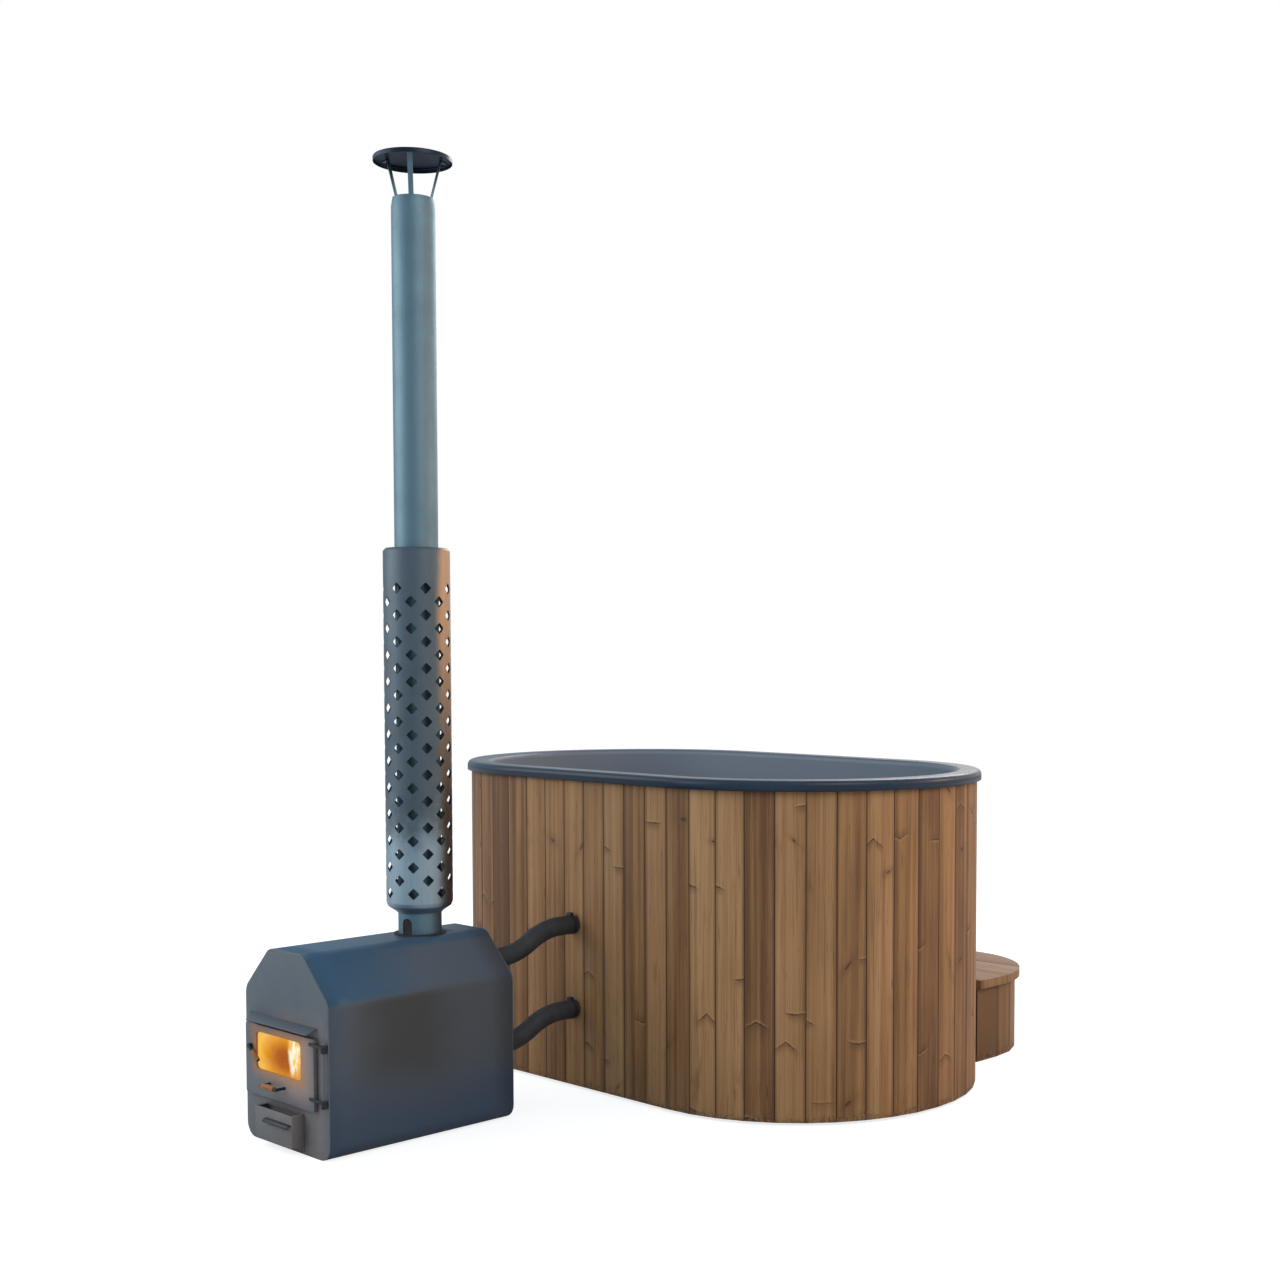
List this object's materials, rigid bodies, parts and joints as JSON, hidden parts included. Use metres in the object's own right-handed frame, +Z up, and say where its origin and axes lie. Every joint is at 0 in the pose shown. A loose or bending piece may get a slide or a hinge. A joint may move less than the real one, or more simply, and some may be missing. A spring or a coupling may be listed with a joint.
{
  "type": "wood-fired hot tub",
  "caption": "Oval wooden hot tub on a stave-clad frame, with an outside wood stove, guarded flue, water hoses and a half-round step.",
  "frame": {"origin": "on the ground under the middle of the tub's base", "axes": "+X along the tub's long axis, -Y towards the heater and its door, +Z up"},
  "size_m": [1.8356, 2.5262, 2.692],
  "materials": {
    "thermowood": "oiled heat-treated softwood boards",
    "frame_wood": "planed softwood and plywood, hidden frame",
    "liner_shell": "glossy dark blue-grey moulded fibreglass",
    "heater_paint": "satin slate-blue heat-resistant paint",
    "front_paint": "satin grey paint on the door and ash drawer",
    "black_steel": "black lacquered steel",
    "stainless": "satin stainless steel sheet",
    "cap_steel": "dark sheet steel",
    "fire_steel": "sooty plate",
    "hose_rubber": "matt reinforced rubber",
    "seal": "braided glass-fibre seal and gaskets",
    "fire_glass": "heat-resistant glass, lit from behind",
    "grip_wood": "turned hardwood",
    "drain_plastic": "grey drain pipe",
    "valve_metal": "nickel-plated brass",
    "lever_red": "red coated lever"
  },
  "bodies": {
    "tub": {"staves_1": "thermowood", "staves_2": "thermowood", "staves_3": "thermowood", "staves_4": "thermowood", "staves_5": "thermowood", "staves_6": "thermowood", "staves_7": "thermowood", "staves_8": "thermowood", "liner": "liner_shell", "upper_ring": "frame_wood", "middle_ring": "frame_wood", "lower_ring": "frame_wood", "frame_posts": "frame_wood", "base_plate": "frame_wood", "base_bearers": "frame_wood", "floor_joists": "frame_wood", "step_ribs": "frame_wood", "step_posts": "frame_wood", "step_tread": "thermowood", "step_skirt": "thermowood", "drain_strainer": "stainless", "drain_pipe": "drain_plastic", "drain_valve": "valve_metal", "tub_spigots": "stainless", "spigot_gaskets": "seal", "spigot_nuts": "stainless", "port_grilles": "stainless", "upper_hose": "hose_rubber", "lower_hose": "hose_rubber", "hose_clamps": "black_steel", "heater_jacket": "heater_paint", "heater_rear": "heater_paint", "heater_front": "front_paint", "firebox": "fire_steel", "grate": "fire_steel", "heater_spigots": "stainless", "door_hood": "heater_paint", "hinge_brackets": "black_steel", "hinge_rod": "front_paint", "flue_collar": "heater_paint", "lower_flue": "stainless", "upper_flue": "stainless", "flue_guard": "stainless", "guard_top_ring": "stainless", "guard_foot_ring": "stainless", "rain_cap": "cap_steel", "cap_struts": "stainless"},
    "fire_door": {"door": "front_paint", "door_glass": "fire_glass", "glass_retainer": "black_steel", "door_seal": "seal", "pull_bracket": "black_steel", "pull_grip": "grip_wood"},
    "latch": {"latch_lever": "black_steel", "latch_grip": "grip_wood", "latch_tongue": "black_steel"},
    "ash_tray": {"ash_drawer": "front_paint", "ash_handle": "black_steel"},
    "drain_handle": {"drain_lever": "lever_red"}
  },
  "joints": [
    {"name": "door_swing", "type": "hinge", "parent": "tub", "child": "fire_door", "pos_m": [0.08463, -1.5, 0.22], "axis": [0, 0, 1], "range_deg": [0, 110]},
    {"name": "latch_turn", "type": "hinge", "parent": "fire_door", "child": "latch", "pos_m": [-0.26438, -1.505, 0.254], "axis": [0, 1, 0], "range_deg": [0, 60]},
    {"name": "ash_slide", "type": "slide", "parent": "tub", "child": "ash_tray", "axis": [0, -1, 0], "range_m": [0, 0.3]},
    {"name": "valve_turn", "type": "hinge", "parent": "tub", "child": "drain_handle", "pos_m": [-0.22187, 0.603, 0.078], "axis": [0, 0, 1], "range_deg": [0, 90]}
  ]
}
